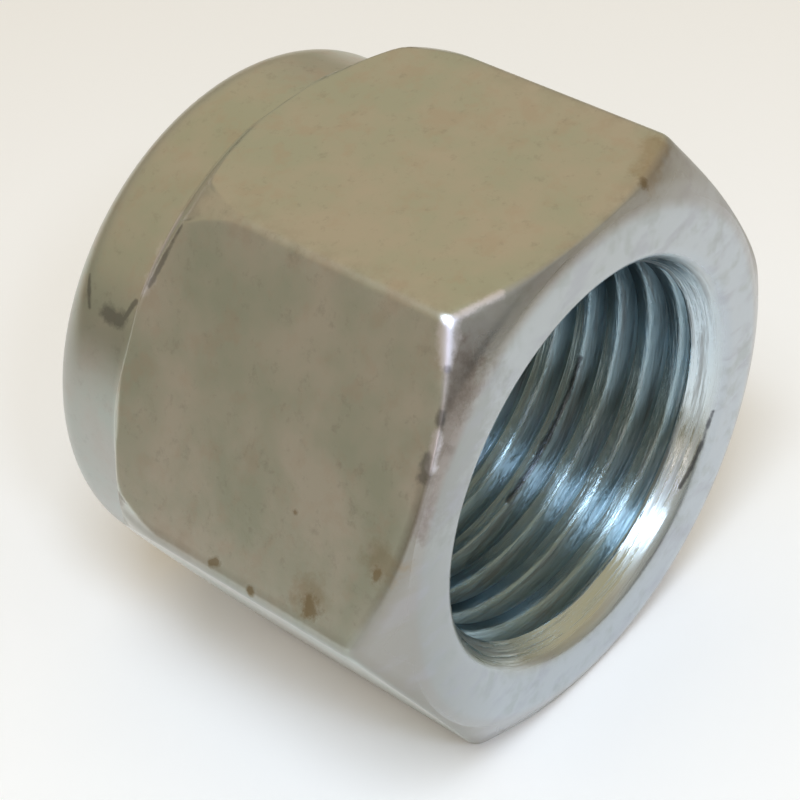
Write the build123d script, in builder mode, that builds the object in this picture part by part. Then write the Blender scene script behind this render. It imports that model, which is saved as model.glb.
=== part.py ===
from build123d import *
import os
from math import cos, radians, tan

# Hexagonal prevailing-torque lock nut: a cold-formed steel body and the nylon ring
# crimped into its collar. It lies on one of its flats, with its thread axis along Y.
# The bearing face looks along -Y, the collar along +Y, and Z is up.
# Lengths are millimetres. Heights named here run along the nut, from the bearing face.

# Driving dimensions: hexagon
across_flats = 20.64
hex_height = 13.5
corner_radius = 0.45
bearing_diameter = 19.97
bearing_chamfer_angle = 35.0
shoulder_length = 5.0
shoulder_inset = 0.46
shoulder_angle = 45.0
shoulder_ledge = 0.04

# Driving dimensions: thread, 18 turns to the inch on a 5/8 inch bolt
thread_major = 15.875
thread_pitch = 1.4111
thread_height = 0.6375
countersink_margin = 0.08
countersink_angle = 60.0
mouth_radius = 0.7
thread_exit_margin = 0.5

# Driving dimensions: collar, crimped over the insert
collar_height = 3.9
collar_step = 0.15
collar_wall = 1.12
rim_radius = 1.6
lip_margin = 0.4
lip_edge_radius = 0.2

# Driving dimensions: insert
insert_thickness = 2.4
insert_bite = 0.45
insert_edge_radius = 0.2
insert_gap = 0.02

# Radii and heights that follow from the sizes above
total_height = hex_height + collar_height
corner_reach = across_flats / 2 / cos(radians(30))
bearing_radius = bearing_diameter / 2
chamfer_height = (corner_reach - bearing_radius) * tan(radians(bearing_chamfer_angle))
shoulder_start = hex_height - shoulder_length
shoulder_radius = across_flats / 2 + shoulder_ledge
brow_radius = corner_reach - shoulder_inset
brow_height = hex_height - (brow_radius - shoulder_radius) / tan(radians(shoulder_angle))
minor_radius = thread_major / 2 - thread_height
countersink_radius = thread_major / 2 + countersink_margin
countersink_depth = (countersink_radius - minor_radius) / tan(radians(countersink_angle / 2))
collar_radius = across_flats / 2 - collar_step
pocket_radius = collar_radius - collar_wall
pocket_corner = rim_radius - collar_wall
pocket_top = total_height - collar_wall
pocket_floor = pocket_top - insert_thickness
rim_centre = (collar_radius - rim_radius, total_height - rim_radius)
lip_radius = thread_major / 2 + lip_margin
thread_end = pocket_floor - thread_exit_margin
insert_radius = pocket_radius - insert_gap
insert_bore_radius = thread_major / 2 - insert_bite

# The bearing face's centre, with the whole nut's box centred over the origin
face_centre = (0, -total_height / 2, across_flats / 2)
nut_axis = Axis(face_centre, (0, 1, 0))
face_plane = Plane(origin=face_centre, x_dir=(1, 0, 0), z_dir=(0, 1, 0))
# On this plane a point is (radius, height along the nut)
section_plane = Plane(origin=face_centre, x_dir=(1, 0, 0), z_dir=(0, 0, 1))

with BuildPart() as nut_body:
    # Hexagonal blank, with two flats level and its edges a little rounded
    with BuildSketch(face_plane):
        RegularPolygon(across_flats / 2, 6, major_radius=False)
    extrude(amount=hex_height)
    fillet(nut_body.edges().filter_by(Axis.Y), corner_radius)

    # Turned outline that trims the corners: a flat chamfer at the bearing face, and a
    # shoulder that leans in slowly along the corners, then bevels down to the collar
    with BuildSketch(section_plane):
        with BuildLine():
            Polyline(
                (0, hex_height),
                (0, 0),
                (bearing_radius, 0),
                (corner_reach, chamfer_height),
                (corner_reach, shoulder_start),
            )
            TangentArc((corner_reach, shoulder_start), (brow_radius, brow_height), tangent=(0, 1))
            Polyline((brow_radius, brow_height), (shoulder_radius, hex_height), (0, hex_height))
        make_face()
    revolve(axis=nut_axis, mode=Mode.INTERSECT)

    # Collar, its rim curled in over the insert
    with BuildSketch(section_plane):
        with BuildLine():
            Polyline(
                (rim_centre[0], total_height),
                (minor_radius, total_height),
                (minor_radius, hex_height - collar_step),
                (collar_radius, hex_height - collar_step),
                (collar_radius, rim_centre[1]),
            )
            CenterArc(rim_centre, rim_radius, 0, 90)
        make_face()
    revolve(axis=nut_axis)

    # Bore at the thread's minor diameter, with its countersink at the bearing face, the
    # pocket for the insert, and the opening inside the curled lip
    with BuildSketch(section_plane):
        with BuildLine():
            Polyline(
                (rim_centre[0], pocket_top),
                (lip_radius, pocket_top),
                (lip_radius, total_height),
                (0, total_height),
                (0, 0),
                (countersink_radius, 0),
                (minor_radius, countersink_depth),
                (minor_radius, thread_end),
                (minor_radius + thread_exit_margin, pocket_floor),
                (pocket_radius, pocket_floor),
                (pocket_radius, rim_centre[1]),
            )
            CenterArc(rim_centre, pocket_corner, 0, 90)
        make_face()
    revolve(axis=nut_axis, mode=Mode.SUBTRACT)
    circles = nut_body.edges().filter_by(GeomType.CIRCLE).group_by(Axis.Y)
    mouth_edge = circles[0].sort_by(SortBy.RADIUS)[0]
    lip_edge = circles[-1].sort_by(SortBy.RADIUS)[0]
    fillet(mouth_edge, mouth_radius)
    fillet(lip_edge, lip_edge_radius)
nut_body.part.label = "nut_body"

with BuildPart() as nylon_insert:
    # Ring that fills the pocket: it stands on the floor and reaches up under the lip. Its
    # bore is smaller than the bolt's thread, which presses its own way through
    with BuildSketch(section_plane):
        with BuildLine():
            Polyline(
                (rim_centre[0], pocket_top - insert_gap),
                (insert_bore_radius, pocket_top - insert_gap),
                (insert_bore_radius, pocket_floor),
                (insert_radius, pocket_floor),
                (insert_radius, rim_centre[1]),
            )
            CenterArc(rim_centre, pocket_corner - insert_gap, 0, 90)
        make_face()
    revolve(axis=nut_axis)
    bore_edges = nylon_insert.edges().filter_by(
        lambda edge: edge.geom_type == GeomType.CIRCLE and abs(edge.radius - insert_bore_radius) < 0.001
    )
    fillet(bore_edges, insert_edge_radius)
nylon_insert.part.label = "nylon_insert"

os.makedirs("parts", exist_ok=True)
export_step(nut_body.part, "parts/nut_body.step")
export_step(nylon_insert.part, "parts/nylon_insert.step")
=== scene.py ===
import bmesh
import bpy
import numpy as np
from mathutils import Matrix, Vector


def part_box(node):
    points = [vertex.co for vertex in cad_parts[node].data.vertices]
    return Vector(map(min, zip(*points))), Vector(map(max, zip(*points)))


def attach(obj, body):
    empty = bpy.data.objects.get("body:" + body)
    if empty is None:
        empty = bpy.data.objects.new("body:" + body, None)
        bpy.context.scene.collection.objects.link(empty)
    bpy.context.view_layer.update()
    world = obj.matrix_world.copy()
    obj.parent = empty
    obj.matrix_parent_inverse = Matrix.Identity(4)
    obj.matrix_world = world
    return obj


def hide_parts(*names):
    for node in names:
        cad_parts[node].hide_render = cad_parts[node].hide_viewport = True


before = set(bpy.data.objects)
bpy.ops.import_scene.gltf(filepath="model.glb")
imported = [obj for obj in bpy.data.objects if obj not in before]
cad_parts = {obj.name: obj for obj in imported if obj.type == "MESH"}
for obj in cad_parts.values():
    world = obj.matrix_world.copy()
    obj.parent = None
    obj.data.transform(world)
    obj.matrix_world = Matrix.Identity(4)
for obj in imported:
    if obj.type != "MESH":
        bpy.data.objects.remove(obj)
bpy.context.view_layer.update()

# ---------------------------------------------------------------- nut body
# The steel nut: a cold-formed hexagon with a turned bearing face, a tapped bore and a thin
# collar curled in over the insert. It is zinc plated after it is formed, and lies on a flat.

# Sizes are in millimetres, and heights run along the nut from its bearing face
MILLIMETRE = 0.001
body_low, body_high = (np.array(corner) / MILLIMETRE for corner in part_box("nut_body"))
across_flats = body_high[2] - body_low[2]
total_height = body_high[1] - body_low[1]
face_y = body_low[1]
axis_z = (body_low[2] + body_high[2]) / 2

# The hexagon, its turned bearing face and the shoulder at its far end
hex_height = 13.5
corner_rounding = 0.5
corner_reach = across_flats / 2 / np.cos(np.pi / 6)
bearing_radius = 9.8
face_rounding = 0.4
rollover_slope = np.tan(np.radians(24))
rollover_rounding = 0.35
chamfer_slope = np.tan(np.radians(35.5))
chamfer_radius = 10.1
shoulder_start = 8.5
shoulder_radius = across_flats / 2 + 0.04
brow_radius = corner_reach - 0.46
brow_height = hex_height - (brow_radius - shoulder_radius)

# The thread, with its crests and flanks as shares of the pitch, and the countersink
thread_pitch = 1.4111
major_radius = 7.9375
minor_radius = 7.3
first_crest = 1.55
half_crest = 0.177
flank = 0.26
crest_wear = 0.2
wear_run = 0.1
thread_exit = 0.5
countersink_radius = major_radius + 0.08
countersink_slope = np.tan(np.radians(30))
countersink_depth = (countersink_radius - minor_radius) / countersink_slope
closed_groove = 0.04
groove_growth = 1.7
mouth_depth = 0.42
mouth_rounding = 0.4

# The collar, its curled rim and lip, and the pocket inside it
collar_radius = across_flats / 2 - 0.15
collar_wall = 1.12
rim_radius = 1.6
rim_centre = np.array([collar_radius - rim_radius, total_height - rim_radius])
lip_radius = major_radius + 0.4
lip_rounding = 0.2
pocket_radius = collar_radius - collar_wall
pocket_corner = rim_radius - collar_wall
pocket_top = total_height - collar_wall
pocket_floor = pocket_top - 2.4


def angle_columns(corner_half_angle, fine, coarse, widening=1.5):
    """Angles round the nut, in radians from straight up. Each sixth of a turn has a corner in
    its middle, with even steps over the rounded corner and steps that widen over the flats."""
    fine_part = corner_half_angle * np.linspace(0, 1, fine + 1)
    rest = np.pi / 6 - corner_half_angle
    coarse_part = corner_half_angle + rest * np.linspace(0, 1, coarse + 1)[1:] ** widening
    half = np.concatenate([fine_part, coarse_part])
    sector = np.concatenate([-half[::-1], half[1:-1]])
    return np.concatenate([np.pi / 6 + k * np.pi / 3 + sector for k in range(6)])


def from_corner(angle):
    """Angle to the nearest corner of the hexagon: how far the turn is from the middle of its
    own sixth."""
    return np.abs((angle + np.pi / 3) % (np.pi / 3) - np.pi / 6)


def hexagon_radius(angle):
    """Distance from the axis to a hexagon with rounded corners: the flat's distance over the
    cosine of the turn from its middle, or near a corner the far side of a small circle."""
    off_corner = from_corner(angle)
    flat = across_flats / 2 / np.cos(np.pi / 6 - off_corner)
    centre = (across_flats / 2 - corner_rounding) / np.cos(np.pi / 6)
    inside = corner_rounding**2 - (centre * np.sin(off_corner)) ** 2
    corner = centre * np.cos(off_corner) + np.sqrt(np.maximum(inside, 0))
    return np.where(off_corner < corner_half_angle, corner, flat)


def at(radius, height):
    """One section point a column, from a radius and a height that may vary by column."""
    return np.stack(np.broadcast_arrays(radius, height, np.zeros(columns))[:2], axis=-1)


def line(start, end, spread=(0, 0.02, 0.05, 0.1, 0.3, 0.5, 0.7, 0.9, 0.95, 0.98, 1)):
    """Rows along the straight line from start to end, one point (radius, height) a column. They
    are closer near its ends, so that it shades flat between two rounded edges."""
    t = np.array(spread)[:, None, None]
    return start + (end - start) * t


def bend(start, corner, end, steps=6):
    """Rows along the quadratic curve that leaves start and reaches end with the corner as its
    control point: (1-t)^2 start + 2t(1-t) corner + t^2 end."""
    t = np.linspace(0, 1, steps + 1)[:, None, None]
    return (1 - t) ** 2 * start + 2 * t * (1 - t) * corner + t**2 * end


def rounded(corner, step_in, step_out):
    """A corner of the section bent round, from one step (radius, height) off it to another."""
    return bend(corner + step_in, corner, corner + step_out)


def arc(centre, radius, first, last, steps):
    """Rows round a circle in the section, from one angle to another in degrees: the centre
    plus the radius times the angle's cosine and sine."""
    turn = np.radians(np.linspace(first, last, steps + 1))[:, None, None]
    unit = np.concatenate([np.cos(turn), np.sin(turn)], axis=2)
    return (centre + radius * unit) * np.ones((1, columns, 1))


def smaller(a, b, softness):
    """The smaller of two lengths with the corner between them rounded: half of their sum less
    the root of their squared difference plus a small constant."""
    return (a + b - np.sqrt((a - b) ** 2 + softness)) / 2


def climb(value, low, high):
    """0 up to the first limit, 1 from the second one on, and a straight climb between them: the
    distance past the first over that from first to second. High may be the lower of the two."""
    return np.clip((value - low) / (high - low), 0, 1)


tangent_half = (across_flats / 2 - corner_rounding) * np.tan(np.pi / 6)
corner_half_angle = np.pi / 6 - np.arctan(tangent_half / (across_flats / 2))
angles = angle_columns(corner_half_angle, fine=5, coarse=14)
angles = np.append(angles, angles[0] + 2 * np.pi)
columns = len(angles)
hexagon = hexagon_radius(angles)

# The corners lean in along a long arc that is upright where it starts, up to the brow, and
# from there a 45 degree bevel runs down to the collar
lean = corner_reach - brow_radius
lean_arc = (lean**2 + (brow_height - shoulder_start) ** 2) / (2 * lean)
standing_clear = 0.3


def shoulder(height):
    """Radius of the shoulder at a height: the leaning arc or the bevel, whichever is less, and
    no more than the hexagon. Below its start the arc widens, to stand clear of the hexagon."""
    up = np.maximum(height - shoulder_start, 0)
    leaning = corner_reach - lean_arc + np.sqrt(lean_arc**2 - up**2)
    leaning = leaning + standing_clear * np.maximum(shoulder_start - height, 0)
    bevel = brow_radius - (height - brow_height)
    return smaller(smaller(leaning, bevel, softness=0.012), hexagon, softness=0.0012)


def chamfer(radius):
    """Height of the turned chamfer at a radius: a cone that starts shallow at the face and rolls
    over into a steeper one, whichever of the two stands higher."""
    shallow = (radius - bearing_radius) * rollover_slope
    steep = (radius - chamfer_radius) * chamfer_slope
    return -smaller(-shallow, -steep, softness=0.002)


# The chamfer's upper edge is rounded, and less so over the flats, where the chamfer is low
largest_rounding, rounded_share = 0.45, 0.42
chamfer_height = chamfer(hexagon)
chamfer_rounding = np.minimum(largest_rounding, rounded_share * chamfer_height)
chamfer_inner = bearing_radius + rollover_rounding * np.cos(np.arctan(rollover_slope))
chamfer_outer = hexagon - chamfer_rounding * np.cos(np.arctan(chamfer_slope))
chamfer_radii = line(at(chamfer_inner, 0), at(chamfer_outer, 0), np.linspace(0, 1, 16))[..., 0]
chamfer_rows = np.stack([chamfer_radii, chamfer(chamfer_radii)], axis=-1)
face_edge = at(bearing_radius, 0)
chamfer_top = at(hexagon, chamfer_height)
flat_start = at(hexagon, chamfer_height + chamfer_rounding)

# Each column's side meets the shoulder where the leaning arc is as far out as the hexagon, or
# over the flats on the bevel. Rows are closest around that meeting.
highest_meet = hex_height - 0.5
meet_reach = 0.35
shoulder_end = hex_height - 0.12
lean_depth = np.clip(hexagon, brow_radius, corner_reach) - corner_reach + lean_arc
meet = shoulder_start + np.sqrt(lean_arc**2 - lean_depth**2)
meet = np.minimum(meet + np.maximum(brow_radius - hexagon, 0), highest_meet)
meet_low, meet_high = at(0, meet - meet_reach), at(0, meet + meet_reach)
around_meet = line(meet_low, meet_high, np.linspace(0, 1, 12))[..., 1]
above_meet = line(meet_high, at(0, shoulder_end), np.linspace(0, 1, 24)[1:])[..., 1]
side_heights = np.concatenate([around_meet, above_meet])
side = np.stack([shoulder(side_heights), side_heights], axis=-1)
shoulder_top = side[-1] * [1, 0] + at(0, hex_height)

# The section's outer part, from the countersink's mouth over the hexagon and the collar to the
# floor of the pocket
mouth_start = at(countersink_radius + mouth_rounding, 0)
ledge_rounding = 0.06
collar_foot = at(collar_radius, hex_height)
foot_out, foot_up = [0.12, 0], [0, 0.15]
lip_edge = at(lip_radius, total_height)
outside = [
    line(mouth_start, face_edge - [face_rounding, 0]),
    bend(face_edge - [face_rounding, 0], face_edge, chamfer_rows[0]),
    chamfer_rows,
    bend(chamfer_rows[-1], chamfer_top, flat_start, 8),
    line(flat_start, side[0]),
    side,
    bend(side[-1], shoulder_top, shoulder_top - [ledge_rounding, 0], 4),
    rounded(collar_foot, foot_out, foot_up),
    line(collar_foot + foot_up, at(collar_radius, rim_centre[1])),
    arc(rim_centre, rim_radius, 0, 90, 14),
    rounded(lip_edge, [lip_rounding, 0], [0, -lip_rounding]),
    line(lip_edge - [0, lip_rounding], at(lip_radius, pocket_top), (0, 1)),
    line(at(lip_radius, pocket_top), at(rim_centre[0], pocket_top), (0, 1)),
    arc(rim_centre, pocket_corner, 90, 0, 4),
    line(at(pocket_radius, rim_centre[1]), at(pocket_radius, pocket_floor), (0, 1)),
]


def bore_radius(height, turn):
    """Radius of the tapped bore: a right-hand 60 degree thread with its crests on the helix that
    climbs one pitch a turn. The ramp from crest to root is half of one plus its distance from 0
    less its distance from 1, which keeps it between the two. The first distance is rounded on
    the crest's worn leading side, but not in the middle of the crest, and less and less towards
    the root. The countersink, pressed in last, closes the groove over its own depth, and a 45
    degree cone ends the thread."""
    phase = (height - first_crest) / thread_pitch - turn / (2 * np.pi)
    from_crest = phase - np.round(phase)
    ramp = (np.abs(from_crest) - half_crest) / flank
    worn = crest_wear * climb(-from_crest, 0, wear_run) * climb(ramp, 1, 0)
    ramp = 0.5 * (1 + np.hypot(ramp, worn) - np.abs(ramp - 1))
    reopened = np.maximum(height - countersink_depth, 0) * groove_growth + closed_groove
    thread = minor_radius + smaller((major_radius - minor_radius) * ramp, reopened, softness=0.001)
    countersink = countersink_radius - height * countersink_slope
    exit_cone = minor_radius + thread_exit - (pocket_floor - height)
    return np.maximum(np.maximum(thread, countersink), exit_cone)


# Rows of the bore run along the thread, so its crests stay clean: those behind a crest, then
# those in front of the next, in shares of the pitch. At the two ends they are held at the end's
# height, where the spare ones fall together.
behind = [0.05, 0.12, 0.165, 0.175, 0.179, 0.19, 0.3, 0.43, 0.437, 0.444, 0.47, 0.5]
in_front = [0.444, 0.437, 0.43, 0.39, 0.33, 0.28, 0.24, 0.21, 0.19, 0.17, 0.15, 0.13, 0.1, 0.06, 0]
phases = np.concatenate([behind, 1 - np.array(in_front)])
turns_needed = np.arange(-3, int(pocket_floor / thread_pitch) + 2)
row_phase = (turns_needed[:, None] + phases).ravel()[::-1]
thread_turn = angles - angles[0]
bore_heights = first_crest + thread_pitch * (row_phase[:, None] + thread_turn / (2 * np.pi))
bore_heights = np.clip(bore_heights, mouth_depth, pocket_floor)
bore = np.stack([bore_radius(bore_heights, thread_turn), bore_heights], axis=-1)
mouth_corner = at(bore[-1, :, 0] + mouth_depth * countersink_slope, 0)
to_bore = line(at(pocket_radius, pocket_floor), bore[0], (0, 1))
section = np.concatenate(outside + [to_bore, bore, bend(bore[-1], mouth_corner, mouth_start, 8)])

# Marks that the plating's material reads, each from 0 to 1 at every point with a short climb
# at its limits: the turned end of the nut and its chamfer, the inside of the bore, its tapped
# length with the roots and crests of the thread, and nearness to a worn outer edge
point_radius, point_height = section[..., 0], section[..., 1]
inside_rows = np.arange(len(section)) >= sum(len(rows) for rows in outside)
in_bore = inside_rows[:, None] * climb(point_height, 0.1, 0.6)
turned = climb(point_height, chamfer_height + 0.15, chamfer_height - 0.15) * (1 - in_bore)
chamfered = turned * climb(point_radius, 9.65, 9.95)
tapped = inside_rows[:, None] * climb(point_height, countersink_depth, countersink_depth + 0.2)
root = tapped * climb(point_radius, minor_radius, major_radius)
crest = tapped * climb(point_radius, minor_radius + 0.195, minor_radius + 0.045)
at_chamfer = climb(np.abs(point_height - chamfer_height), 0.7, 0)
at_corner = climb(point_radius * np.abs(np.sin(from_corner(angles))), 0.9, 0)
at_corner = at_corner * climb(point_height, hex_height, hex_height - 1.5)
at_corner = np.where(point_height > chamfer_height, at_corner, 0)
edge = np.maximum(at_chamfer, at_corner) * (point_radius > collar_radius)
marks = {"turned": turned, "chamfered": chamfered, "edge": edge}
marks.update({"in_bore": in_bore, "tapped": tapped, "root": root, "crest": crest})


def closed_piece(name, section, angles, marks):
    """A closed mesh swept round the nut's axis: each column is one section, a loop of points
    (radius, height), at one angle. A point stands at the radius times the angle's sine across
    and cosine up. Points that coincide are merged, and faces point outwards."""
    radius, height = section[..., 0], section[..., 1]
    across, up = radius * np.sin(angles), radius * np.cos(angles)
    places = np.stack([across, face_y + height, axis_z + up], axis=-1)
    rows, count = radius.shape
    this, after = np.arange(rows), np.roll(np.arange(rows), -1)
    left, right = np.arange(count - 1), np.arange(1, count)
    corners = [this[:, None] * count + left, after[:, None] * count + left]
    corners += [after[:, None] * count + right, this[:, None] * count + right]
    faces = np.stack(corners, axis=-1).reshape(-1, 4)
    mesh = bpy.data.meshes.new(name)
    mesh.from_pydata((places.reshape(-1, 3) * MILLIMETRE).tolist(), [], faces.tolist())
    for mark, values in marks.items():
        mesh.attributes.new(mark, "FLOAT", "POINT").data.foreach_set("value", values.ravel())
    touching = 0.0002 * MILLIMETRE
    surface = bmesh.new()
    surface.from_mesh(mesh)
    bmesh.ops.remove_doubles(surface, verts=surface.verts, dist=touching)
    bmesh.ops.dissolve_degenerate(surface, edges=surface.edges, dist=touching / 2)
    if surface.calc_volume(signed=True) < 0:
        bmesh.ops.reverse_faces(surface, faces=surface.faces)
    surface.to_mesh(mesh)
    surface.free()
    mesh.shade_smooth()
    piece = bpy.data.objects.new(name, mesh)
    bpy.context.scene.collection.objects.link(piece)
    return piece


nut = closed_piece("threaded_nut", section, angles, marks)
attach(nut, "root")
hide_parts("nut_body")


def linear(code):
    """The linear colour of an sRGB hex code: a power of 2.4 above the short straight foot."""
    parts = np.array([int(code[i : i + 2], 16) for i in (1, 3, 5)]) / 255
    curve = np.where(parts <= 0.04045, parts / 12.92, ((parts + 0.055) / 1.055) ** 2.4)
    return (*curve.tolist(), 1.0)


def emptied(holder):
    """The node tree of a material or a world, cleared of the nodes that it comes with."""
    holder.use_nodes = True
    holder.node_tree.nodes.clear()
    return holder.node_tree


def node(tree, kind, inputs=None, **settings):
    """Adds one node, makes its settings, and gives each input a plain value or a link."""
    made = tree.nodes.new(kind)
    for name, value in settings.items():
        setattr(made, name, value)
    for name, value in (inputs or {}).items():
        if isinstance(value, bpy.types.NodeSocket):
            tree.links.new(value, made.inputs[name])
        else:
            made.inputs[name].default_value = value
    return made


# Zinc plating, passivated clear: a satin silver that takes its tone from what it mirrors
zinc = bpy.data.materials.new("zinc_plated_steel")
tree = emptied(zinc)
on_nut = node(tree, "ShaderNodeTexCoord").outputs["Object"]
marked = {}
for mark in marks:
    marked[mark] = node(tree, "ShaderNodeAttribute", attribute_name=mark).outputs["Fac"]

# Noise by its cycles per millimetre across, along and up the nut. The clouds are where the
# plating is greener or pinker, 2 to 4 mm across; smudges, wear and ragged outlines are finer.
# The streaks and the chatter run round the bore, left by the tap and drawn 0.1 to 0.2 mm apart,
# where the real ones are finer; the grain is the satin of the plating, drawn coarse too.
noise = {}
for name, cycles, detail, rough in (
    ("clouds", (0.3, 0.3, 0.3), 4, 0.6),
    ("blotches", (0.9, 0.9, 0.9), 4, 0.6),
    ("smudges", (1.6, 1.6, 1.6), 6, 0.75),
    ("wear", (1.1, 1.1, 1.1), 6, 0.7),
    ("ragged", (1.8, 1.8, 1.8), 5, 0.7),
    ("scuffs", (0.45, 0.45, 1.1), 5, 0.65),
    ("streaks", (0.25, 6.0, 0.25), 4, 0.7),
    ("chatter", (0.9, 11.0, 0.9), 3, 0.6),
    ("grain", (5.0, 5.0, 5.0), 3, 0.6),
):
    scale = [count / MILLIMETRE for count in cycles]
    scaled = node(tree, "ShaderNodeMapping", {"Vector": on_nut, "Scale": scale}).outputs[0]
    pattern = {"Vector": scaled, "Scale": 1.0, "Detail": detail, "Roughness": rough}
    noise[name] = node(tree, "ShaderNodeTexNoise", pattern).outputs["Fac"]

# Marks that the nut has picked up, and painted highlights and shade. Each is a stroke from one
# place to another, or a spot where the two are the same: 1 along its middle and 0 from one or two
# reaches off. Places are across, along from the bearing face and up from the axis. The distance
# from a stroke grows by the ragged noise times three reaches, half of that on average, and the two
# limits allow for it.
raggedness, solid_until, gone_from = 3, 2.1, 3
axis_start = np.array([0, face_y, axis_z])
strokes = {}
for kind, first, last, reach in (
    # Rust, in specks low on the side flat and in a smear at the far corner of the top one
    ("rust", (-11.4, 3.3, 0.9), (-11.5, 3.1, 0.75), 0.3),
    ("rust", (-10.36, 1.04, 2.7), (-10.36, 1.04, 2.7), 0.24),
    ("rust", (-11.72, 7.64, 0.34), (-11.6, 7.4, 0.5), 0.14),
    ("rust", (-11.77, 5.74, 0.25), (-11.77, 5.74, 0.25), 0.16),
    ("rust", (-10.11, 4.81, 3.13), (-10.11, 4.81, 3.13), 0.1),
    ("rust", (3.3, 0.45, 10.15), (3.3, 0.45, 10.15), 0.2),
    ("stain", (-11.3, 3.4, 1.1), (-11.3, 3.4, 1.1), 0.6),
    ("stain", (-10.2, 1.0, 3.1), (-10.2, 1.0, 3.1), 0.6),
    ("stain", (3.6, 0.5, 10.2), (5.2, 1.3, 10.3), 0.45),
    # Painted highlights in a pale violet-white, partly worn plating: where the near corner has
    # been knocked and below it, and at the back a painted highlight alone, along the bevel down to
    # the collar
    ("wear_and_highlight", (-6.0, 1.15, 10.05), (-6.6, 0.88, 9.2), 0.3),
    ("wear_and_highlight", (-5.6, 1.1, 10.28), (-4.0, 0.68, 10.28), 0.14),
    ("wear_and_highlight", (-7.8, 0.38, 7.2), (-8.3, 0.28, 6.3), 0.18),
    ("wear_and_highlight", (-5.95, 13.3, 8.7), (-7.6, 13.4, 7.1), 0.35),
    ("wear_and_highlight", (-5.3, 0.6, 8.4), (-5.3, 0.6, 8.4), 0.15),
    # Painted shade: the face drawn darker and duller beside the near corner
    ("painted_face_shade", (-6.5, 0.0, 7.4), (-8.2, 0.0, 5.0), 1.3),
    # Bruises down the chamfer, where the plating is crushed and grey
    ("bruised", (-6.4, 0.7, 9.0), (-8.9, 0.4, 4.8), 0.9),
    # Dark nicks in the edges near the front; at the back, painted shade: a dark line in front of
    # the bevel's painted highlight, and dark reflections painted on the collar
    ("nicks_and_shade", (-7.42, 0.45, 7.8), (-7.5, 0.45, 7.55), 0.14),
    ("nicks_and_shade", (-8.2, 0.5, 6.5), (-8.55, 0.5, 5.9), 0.2),
    ("nicks_and_shade", (-6.65, 0.75, 8.95), (-6.65, 0.75, 8.95), 0.12),
    ("nicks_and_shade", (-6.5, 12.45, 9.3), (-7.7, 13.15, 7.2), 0.09),
    ("nicks_and_shade", (-8.44, 14.8, 5.67), (-8.44, 14.3, 5.67), 0.3),
    ("nicks_and_shade", (-8.44, 14.1, 5.67), (-7.95, 13.8, 6.35), 0.08),
    ("nicks_and_shade", (-7.9, 16.2, 6.4), (-8.5, 15.7, 5.55), 0.07),
    # Dark lines: one round the mouth of the countersink, and a hairline along a crest of the
    # thread
    ("dark_lines", (7.42, 0.16, -2.8), (6.88, 0.2, -3.86), 0.08),
    ("dark_lines", (6.88, 0.2, -3.86), (6.14, 0.27, -4.9), 0.085),
    ("dark_lines", (6.14, 0.27, -4.9), (5.61, 0.35, -5.43), 0.07),
    ("dark_lines", (6.87, 5.99, -2.64), (6.05, 6.05, -4.17), 0.1),
    ("dark_lines", (6.05, 6.05, -4.17), (4.93, 6.15, -5.42), 0.11),
    ("dark_lines", (4.93, 6.15, -5.42), (3.74, 6.15, -6.33), 0.12),
    ("dark_lines", (3.74, 6.15, -6.33), (2.36, 6.22, -6.95), 0.11),
):
    start, end = ((axis_start + place) * MILLIMETRE for place in (first, last))
    run = end - start
    # A spot has no run, and the tiny number only lets it be divided
    per_run = run / max(run @ run, 1e-12)
    # The share of the run that is passed abreast of a point, then the place at that share
    passed = {0: on_nut, 1: start.tolist()}
    passed = node(tree, "ShaderNodeVectorMath", passed, operation="SUBTRACT").outputs[0]
    share = {0: passed, 1: per_run.tolist()}
    share = node(tree, "ShaderNodeVectorMath", share, operation="DOT_PRODUCT").outputs["Value"]
    share = node(tree, "ShaderNodeMath", {0: share, 1: 0.0}, operation="ADD", use_clamp=True)
    nearest = {0: share.outputs[0], 1: run.tolist(), 2: start.tolist()}
    nearest = node(tree, "ShaderNodeVectorMath", nearest, operation="MULTIPLY_ADD").outputs[0]
    away = {0: on_nut, 1: nearest}
    away = node(tree, "ShaderNodeVectorMath", away, operation="DISTANCE").outputs["Value"]
    unit = reach * MILLIMETRE
    away = {0: noise["ragged"], 1: raggedness * unit, 2: away}
    away = node(tree, "ShaderNodeMath", away, operation="MULTIPLY_ADD").outputs[0]
    shown = {"Value": away, "From Min": solid_until * unit, "From Max": gone_from * unit}
    shown.update({"To Min": 1.0, "To Max": 0.0})
    shown = node(tree, "ShaderNodeMapRange", shown).outputs["Result"]
    shown = {0: strokes.get(kind, 0.0), 1: shown}
    strokes[kind] = node(tree, "ShaderNodeMath", shown, operation="MAXIMUM").outputs[0]
bruise = {0: strokes["bruised"], 1: marked["chamfered"]}
bruise = node(tree, "ShaderNodeMath", bruise, operation="MULTIPLY").outputs[0]

# The lower part of the nut, where its edges and collar are drawn darker; the two sides of the
# bearing face, the left one darker as painted shade and the right one paler and bluer as a painted
# reflection, as is the right of the bore; and the collar
sides = {}
for name, axis, begins, full in (
    ("low", "Z", axis_z + 7, axis_z + 4),
    ("left", "X", -6.0, -10.0),
    ("right", "X", 0.0, 8.0),
    ("collar", "Y", face_y + 13.4, face_y + 13.9),
):
    level = node(tree, "ShaderNodeSeparateXYZ", {0: on_nut}).outputs[axis]
    reached = {"Value": level, "From Min": begins * MILLIMETRE, "From Max": full * MILLIMETRE}
    sides[name] = node(tree, "ShaderNodeMapRange", reached).outputs["Result"]

plating = node(tree, "ShaderNodeValToRGB", {0: noise["clouds"]})
for stop, position, code in zip(plating.color_ramp.elements, (0.38, 0.62), ("#C0C8C1", "#CBC9C3")):
    stop.position, stop.color = position, linear(code)
colour = plating.outputs[0]

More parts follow.
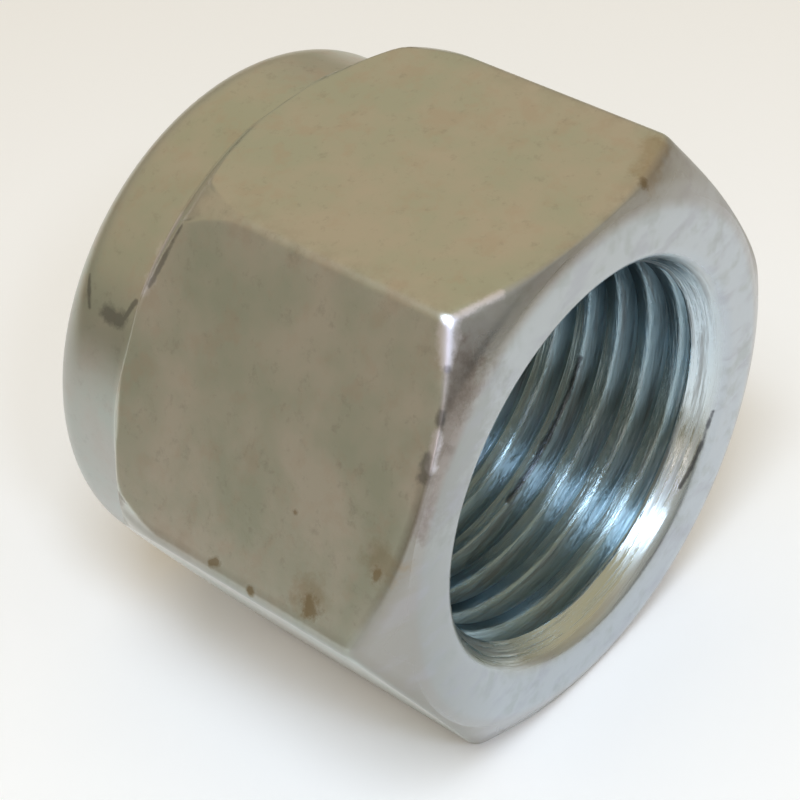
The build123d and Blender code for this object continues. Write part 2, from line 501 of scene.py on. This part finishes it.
# What is laid over the plating: as the first value goes from low to high, the cover grows to
# its full amount, within the place given last
for value, low, high, amount, within, cover in (
    (noise["blotches"], 0.52, 0.66, 0.4, 1.0, "#C6BBB2"),
    (noise["smudges"], 0.56, 0.7, 0.3, 1.0, "#8E8A86"),
    (marked["turned"], 0, 1, 1.0, 1.0, "#B7BDC0"),
    # Painted shade on the left of the bearing face, and a paler, bluer painted reflection on its
    # right
    (sides["left"], 0, 1, 0.75, marked["turned"], "#969690"),
    (sides["right"], 0, 1, 0.8, marked["turned"], "#C0C8D0"),
    # Painted shade on the face beside the near corner
    (strokes["painted_face_shade"], 0, 1, 0.45, marked["turned"], "#8F8F8A"),
    (noise["scuffs"], 0.5, 0.62, 0.5, marked["turned"], "#A9ABB4"),
    (noise["blotches"], 0.48, 0.36, 0.4, marked["turned"], "#9FA5A2"),
    (marked["in_bore"], 0, 1, 1.0, 1.0, "#C0CCCE"),
    # Painted reflection: the right of the bore paler and bluer
    (sides["right"], 0, 1, 0.7, marked["in_bore"], "#D3DFE6"),
    (marked["tapped"], 0, 1, 1.0, 1.0, "#A8C2CD"),
    (noise["streaks"], 0.5, 0.62, 0.5, marked["in_bore"], "#7A7470"),
    (marked["crest"], 0, 1, 0.5, 1.0, "#8A989C"),
    (noise["wear"], 0.42, 0.6, 0.25, marked["edge"], "#9A948A"),
    # Darker towards the bottom: the lower edges and the lower part of the collar
    (marked["edge"], 0.45, 0.9, 0.6, sides["low"], "#86857A"),
    (sides["collar"], 0, 1, 0.5, sides["low"], "#8E918F"),
    (marked["chamfered"], 0, 1, 0.35, 1.0, "#A29A92"),
    (bruise, 0, 1, 0.5, 1.0, "#988C88"),
    (noise["wear"], 0.45, 0.6, 0.6, bruise, "#7E7672"),
    # Painted highlights, with worn plating at the near corner
    (strokes["wear_and_highlight"], 0, 1, 0.8, 1.0, "#E2E0EA"),
    # Nicks, and painted shade by the bevel and on the collar
    (strokes["nicks_and_shade"], 0, 1, 0.55, 1.0, "#55555A"),
    (strokes["dark_lines"], 0, 1, 0.8, 1.0, "#3F4048"),
    (strokes["stain"], 0, 1, 0.35, 1.0, "#9A7F55"),
    (strokes["rust"], 0, 1, 0.75, 1.0, "#7A663E"),
    # The thread's roots darker: residue, and painted shade
    (marked["root"], 0, 1, 0.25, 1.0, "#5E6A6E"),
):
    grow = {"Value": value, "From Min": low, "From Max": high, "To Max": amount}
    grown = node(tree, "ShaderNodeMapRange", grow).outputs["Result"]
    covered = node(tree, "ShaderNodeMath", {0: grown, 1: within}, operation="MULTIPLY").outputs[0]
    layers = {0: covered, 6: colour, 7: linear(cover)}
    colour = node(tree, "ShaderNodeMix", layers, data_type="RGBA").outputs[2]

# Roughness spread over the middle of a noise: satin where the plating is handled, uneven from
# streak to streak in the countersink, and rougher where the tap's lines are low
spreads = []
for source, low, high, least, most in (
    (noise["clouds"], 0.38, 0.62, 0.28, 0.34),
    (noise["streaks"], 0.4, 0.6, 0.12, 0.4),
    (noise["chatter"], 0.4, 0.6, 0.44, 0.3),
):
    spread = {"Value": source, "From Min": low, "From Max": high, "To Min": least, "To Max": most}
    spreads.append(node(tree, "ShaderNodeMapRange", spread).outputs["Result"])
roughness, countersink_roughness, tapped_roughness = spreads

# Smoother on the turned end and on the thread's crests, duller on the edges and on rust
for within, value in (
    (marked["turned"], 0.27),
    (marked["edge"], 0.36),
    (strokes["rust"], 0.6),
    (marked["in_bore"], countersink_roughness),
    (marked["tapped"], tapped_roughness),
    (marked["crest"], 0.2),
):
    layers = {0: within, 2: roughness, 3: value}
    roughness = node(tree, "ShaderNodeMix", layers, data_type="FLOAT").outputs[0]

# The relief, in hundredths of a millimetre: a fine grain outside, ridges where the tap has run
relief = node(tree, "ShaderNodeMath", {0: noise["grain"], 1: 0.3}, operation="MULTIPLY").outputs[0]
for within, source, depth in (
    (marked["in_bore"], noise["streaks"], 3.2),
    (marked["tapped"], noise["chatter"], 4.0),
):
    ridges = node(tree, "ShaderNodeMath", {0: source, 1: depth}, operation="MULTIPLY").outputs[0]
    layers = {0: within, 2: relief, 3: ridges}
    relief = node(tree, "ShaderNodeMix", layers, data_type="FLOAT").outputs[0]
raised = {"Strength": 1.0, "Distance": 0.01 * MILLIMETRE, "Height": relief}
bump = node(tree, "ShaderNodeBump", raised).outputs[0]

# The tap's lines run round the bore, so along the nut its glints are drawn out
along = node(tree, "ShaderNodeCombineXYZ", {"Y": 1.0}).outputs[0]
finish = {"Metallic": 1.0, "Base Color": colour, "Roughness": roughness, "Normal": bump}
finish.update({"Anisotropic": marked["tapped"], "Tangent": along})
steel = node(tree, "ShaderNodeBsdfPrincipled", finish)
node(tree, "ShaderNodeOutputMaterial", {"Surface": steel.outputs["BSDF"]})
nut.data.materials.append(zinc)

# ---------------------------------------------------------------- nylon insert
# The ring of natural nylon that grips the bolt. It is moulded plain, drops into the collar's
# pocket, and is held by the curled lip, which squeezes it a little proud inside the lip.

insert_gap = 0.02
insert_bore = major_radius - 0.45
insert_radius = pocket_radius - insert_gap
insert_top = pocket_top - insert_gap
insert_rounding = 0.2
squeezed_edge = lip_radius - insert_gap
squeezed_height = 0.2

# Its section runs from the bore's lower edge out over the pocket's floor, up the wall, back
# under the lip and down the bore
lower_edge = at(insert_bore, pocket_floor)
upper_edge = at(insert_bore, insert_top)
squeezed = at((lip_radius + insert_bore) / 2, insert_top + squeezed_height)
bore_start, bore_end = upper_edge - [0, insert_rounding], lower_edge + [0, insert_rounding]
ring = [
    rounded(lower_edge, [0, insert_rounding], [insert_rounding, 0]),
    line(lower_edge + [insert_rounding, 0], at(insert_radius, pocket_floor), (0, 1)),
    line(at(insert_radius, pocket_floor), at(insert_radius, rim_centre[1]), (0, 1)),
    arc(rim_centre, pocket_corner - insert_gap, 0, 90, 4),
    line(at(rim_centre[0], insert_top), at(squeezed_edge, insert_top), (0, 1)),
    bend(at(squeezed_edge, insert_top), squeezed, upper_edge + [insert_rounding, 0]),
    rounded(upper_edge, [insert_rounding, 0], [0, -insert_rounding]),
    line(bore_start, bore_end, np.linspace(0, 1, 9)),
]
insert = closed_piece("locking_ring", np.concatenate(ring), angles, {})
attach(insert, "root")
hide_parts("nylon_insert")

# Natural nylon, moulded: milky and a little translucent, cloudier where it cooled more slowly.
# The milk drifts over some 3 mm, and the skin is the mould's fine grain, drawn coarse.
nylon = bpy.data.materials.new("natural_nylon")
nylon_tree = emptied(nylon)
on_ring = node(nylon_tree, "ShaderNodeTexCoord").outputs["Object"]
milk = {"Vector": on_ring, "Scale": 0.35 / MILLIMETRE, "Detail": 3}
milk = node(nylon_tree, "ShaderNodeTexNoise", milk).outputs["Fac"]
skin = {"Vector": on_ring, "Scale": 3.0 / MILLIMETRE, "Detail": 4}
skin = node(nylon_tree, "ShaderNodeTexNoise", skin).outputs["Fac"]
milky = node(nylon_tree, "ShaderNodeValToRGB", {0: milk})
for stop, position, code in zip(milky.color_ramp.elements, (0.4, 0.6), ("#D3D3C6", "#E2E0D4")):
    stop.position, stop.color = position, linear(code)
spread = {"Value": skin, "From Min": 0.35, "From Max": 0.65, "To Min": 0.36, "To Max": 0.48}
skin_roughness = node(nylon_tree, "ShaderNodeMapRange", spread).outputs["Result"]
raised = {"Strength": 0.6, "Distance": 0.01 * MILLIMETRE, "Height": skin}
skin_bump = node(nylon_tree, "ShaderNodeBump", raised).outputs[0]
moulded = {
    "Base Color": milky.outputs[0],
    "Roughness": skin_roughness,
    "IOR": 1.53,
    "Subsurface Weight": 0.2,
    "Subsurface Scale": 0.8 * MILLIMETRE,
    "Normal": skin_bump,
}
plastic = node(nylon_tree, "ShaderNodeBsdfPrincipled", moulded)
node(nylon_tree, "ShaderNodeOutputMaterial", {"Surface": plastic.outputs["BSDF"]})
insert.data.materials.append(nylon)

# ---------------------------------------------------------------- floor, light and camera
# A plain pale floor, soft lights close above it, and warm dim surroundings that the plating
# mirrors. The camera looks down at the bearing face and two of the flats.

# Matt white card: it scatters the light softly, and glows a little so that it stays pale
bpy.ops.mesh.primitive_plane_add(size=3)
floor = bpy.context.object
floor.name = "floor"
card = bpy.data.materials.new("matt_white_card")
card_tree = emptied(card)
matt = {"Base Color": linear("#F4F4F4"), "Roughness": 0.9}
matt.update({"Emission Color": linear("#F4F7FF"), "Emission Strength": 0.1})
matt = node(card_tree, "ShaderNodeBsdfPrincipled", matt)
node(card_tree, "ShaderNodeOutputMaterial", {"Surface": matt.outputs["BSDF"]})
floor.data.materials.append(card)

# The room, browner and darker towards the floor: each colour stands at the sine of its angle
# above the horizon, and the standard view shows colours as they are
world = bpy.data.worlds.new("surroundings")
bpy.context.scene.world = world
bpy.context.scene.view_settings.view_transform = "Standard"
sky = emptied(world)
outward = node(sky, "ShaderNodeTexCoord").outputs["Generated"]
across, forward, upward = node(sky, "ShaderNodeSeparateXYZ", {0: outward}).outputs
shade = node(sky, "ShaderNodeValToRGB", {0: upward})
shade.color_ramp.elements.remove(shade.color_ramp.elements[1])
shade.color_ramp.elements[0].color = linear("#6E6148")
for position, code in (
    (0.07, "#9C8F76"),
    (0.2, "#AAA18C"),
    (0.45, "#BFB094"),
    (0.75, "#C1B192"),
    (1.0, "#BFAF8B"),
):
    shade.color_ramp.elements.new(position).color = linear(code)

# Ahead of the nut's mouth, where forward is -1, the room is paler, over a dark strip along the
# foot of the wall. Each comes in between two heights and from the side to straight ahead.
surroundings = shade.outputs[0]
for low, high, aside, ahead, cover in (
    (0.14, 0.25, -0.6, -0.8, "#BAB6AB"),
    (0.22, 0.1, -0.8, -0.95, "#525C5E"),
):
    by_height = {"Value": upward, "From Min": low, "From Max": high}
    by_height = node(sky, "ShaderNodeMapRange", by_height).outputs["Result"]
    by_front = {"Value": forward, "From Min": aside, "From Max": ahead}
    by_front = node(sky, "ShaderNodeMapRange", by_front).outputs["Result"]
    covered = {0: by_height, 1: by_front}
    covered = node(sky, "ShaderNodeMath", covered, operation="MULTIPLY").outputs[0]
    layers = {0: covered, 6: surroundings, 7: linear(cover)}
    surroundings = node(sky, "ShaderNodeMix", layers, data_type="RGBA").outputs[2]

# It is brighter on the right
strength = {"Value": across, "From Min": -1.0, "From Max": 1.0, "To Min": 0.9, "To Max": 1.25}
strength = node(sky, "ShaderNodeMapRange", strength).outputs["Result"]
glow = node(sky, "ShaderNodeBackground", {"Color": surroundings, "Strength": strength})
node(sky, "ShaderNodeOutputWorld", {"Surface": glow.outputs[0]})


def turned_to(position, target, roll=0.0):
    """A transform at a position whose -Z looks at the target, with +Y up but for the roll."""
    aim = (Vector(target) - Vector(position)).to_track_quat("-Z", "Y")
    return Matrix.Translation(position) @ aim.to_matrix().to_4x4() @ Matrix.Rotation(roll, 4, "Z")


def softbox(name, direction, distance, size, power, code):
    """A square area light, its size in metres and its power in watts, that looks at the nut's
    middle from a distance in metres."""
    middle = Vector((0, 0, axis_z * MILLIMETRE))
    lamp = bpy.data.lights.new(name, "AREA")
    lamp.size, lamp.energy, lamp.color = size, power, linear(code)[:3]
    holder = bpy.data.objects.new(name, lamp)
    holder.matrix_world = turned_to(middle + Vector(direction).normalized() * distance, middle)
    bpy.context.scene.collection.objects.link(holder)


softbox("key", (-0.31, -0.63, 0.71), 0.17, 0.024, 0.056, "#D5E7FF")
softbox("overhead", (-0.36, -0.25, 0.9), 0.13, 0.05, 0.1, "#DCECFF")
softbox("window", (-0.74, -0.61, 0.29), 0.2, 0.035, 0.008, "#F7E4E0")
softbox("skylight", (-0.64, -0.57, 0.51), 0.2, 0.03, 0.006, "#D9D8FF")

# The camera, above and to the left of the nut's mouth, close enough for a strong perspective
camera = bpy.data.cameras.new("camera")
camera.sensor_width = 36
camera.lens = 99.75
camera.clip_start = 0.001
camera_place = np.array([-45.228, -42.801, 64.081])
camera_direction = np.array([0.541, 0.519, -0.662])
camera_roll = np.radians(-5.3)
looked_at = camera_place + 70 * camera_direction
viewer = bpy.data.objects.new("camera", camera)
viewer.matrix_world = turned_to(camera_place * MILLIMETRE, looked_at * MILLIMETRE, camera_roll)
bpy.context.scene.collection.objects.link(viewer)
bpy.context.scene.camera = viewer
